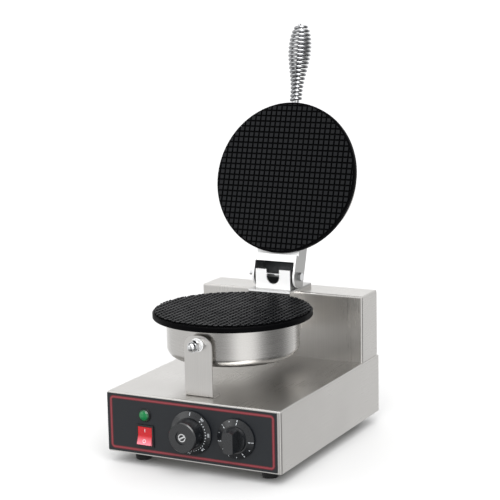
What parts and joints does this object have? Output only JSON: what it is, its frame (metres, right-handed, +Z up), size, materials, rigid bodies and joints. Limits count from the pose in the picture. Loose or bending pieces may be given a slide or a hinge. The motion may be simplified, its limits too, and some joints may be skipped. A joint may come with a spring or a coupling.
{
  "type": "waffle cone maker",
  "caption": "Counter-top cone baker: stainless base with a control panel, a round grid plate, and a hinged grid plate with a coil handle.",
  "frame": {"origin": "bottom centre of the object's box with the lid open, on the surface that its feet stand on", "axes": "+X to the right of a person facing the controls, +Y to the rear, +Z up"},
  "size_m": [0.238, 0.3626, 0.5239],
  "materials": {
    "stainless": "brushed stainless sheet",
    "bright_stainless": "bright stainless strip",
    "zinc_steel": "zinc-plated steel",
    "chrome": "polished chrome plate",
    "black_panel": "satin black print on sheet",
    "rubber": "moulded black rubber",
    "nonstick_iron": "black non-stick coating on cast iron",
    "heater_sheath": "heat-darkened steel sheath",
    "ceramic_fibre": "pressed ceramic fibre",
    "green_lens": "clear green moulding",
    "black_plastic": "moulded black plastic",
    "dial_plastic": "moulded black phenolic",
    "ceramic": "pale steatite",
    "timer_case": "pressed sheet",
    "copper": "drawn copper tube",
    "brass": "turned brass",
    "red_plastic": "clear red moulding"
  },
  "bodies": {
    "base": {"base_shell": "stainless", "control_fascia": "black_panel", "bottom_cover": "zinc_steel", "cover_screws": "zinc_steel", "foot_front_left": "rubber", "foot_front_right": "rubber", "foot_rear_left": "rubber", "foot_rear_right": "rubber", "foot_screws": "zinc_steel", "foot_nuts": "zinc_steel", "tower_shell": "stainless", "tower_screws": "zinc_steel", "tower_back_cover": "stainless", "front_strap": "bright_stainless", "strap_screws": "zinc_steel", "front_stud": "zinc_steel", "stud_spacer": "zinc_steel", "stud_washer": "bright_stainless", "stud_nut": "chrome", "stud_cap_nut": "chrome", "lower_plate": "nonstick_iron", "lower_pan": "stainless", "lower_heater": "heater_sheath", "lower_clamp_plate": "zinc_steel", "lower_insulation": "ceramic_fibre", "lower_centre_bolt": "zinc_steel", "rear_stud": "zinc_steel", "rear_stud_nut": "zinc_steel", "hinge_bridge": "stainless", "hinge_bracket": "bright_stainless", "bracket_screws": "zinc_steel", "hinge_bolt": "bright_stainless", "hinge_nut": "bright_stainless", "hinge_spacers": "zinc_steel", "pilot_lamp_lens": "green_lens", "pilot_lamp_body": "black_plastic", "switch_housing": "black_plastic", "thermostat_body": "ceramic", "thermostat_probe": "copper", "timer_body": "timer_case", "control_screws": "zinc_steel", "terminal_block": "ceramic", "cable_gland": "black_plastic", "earth_screw": "brass"},
    "lid": {"upper_plate": "nonstick_iron", "upper_pan": "stainless", "upper_heater": "heater_sheath", "upper_clamp_plate": "zinc_steel", "upper_insulation": "ceramic_fibre", "upper_centre_bolt": "zinc_steel", "lid_bracket": "bright_stainless", "lid_bracket_screws": "zinc_steel", "handle_rod": "chrome", "handle_coil": "chrome"},
    "thermostat_dial": {"thermostat_knob": "dial_plastic", "knob_insert": "chrome", "thermostat_shaft": "zinc_steel"},
    "timer_dial": {"timer_knob": "dial_plastic", "timer_shaft": "zinc_steel"},
    "switch_rocker": {"rocker": "red_plastic"}
  },
  "joints": [
    {"name": "lid_hinge", "type": "hinge", "parent": "base", "child": "lid", "pos_m": [0, 0.082, 0.2005], "axis": [1, 0, 0], "range_deg": [0, 107.4]},
    {"name": "thermostat_turn", "type": "hinge", "parent": "base", "child": "thermostat_dial", "pos_m": [0.0005, -0.157, 0.0528], "axis": [0, 1, 0], "range_deg": [0, 320]},
    {"name": "timer_turn", "type": "hinge", "parent": "base", "child": "timer_dial", "pos_m": [0.061, -0.157, 0.0528], "axis": [0, 1, 0], "range_deg": [0, 253]},
    {"name": "rocker_tilt", "type": "hinge", "parent": "base", "child": "switch_rocker", "pos_m": [-0.0645, -0.156, 0.0405], "axis": [1, 0, 0], "range_deg": [0, 20]}
  ]
}
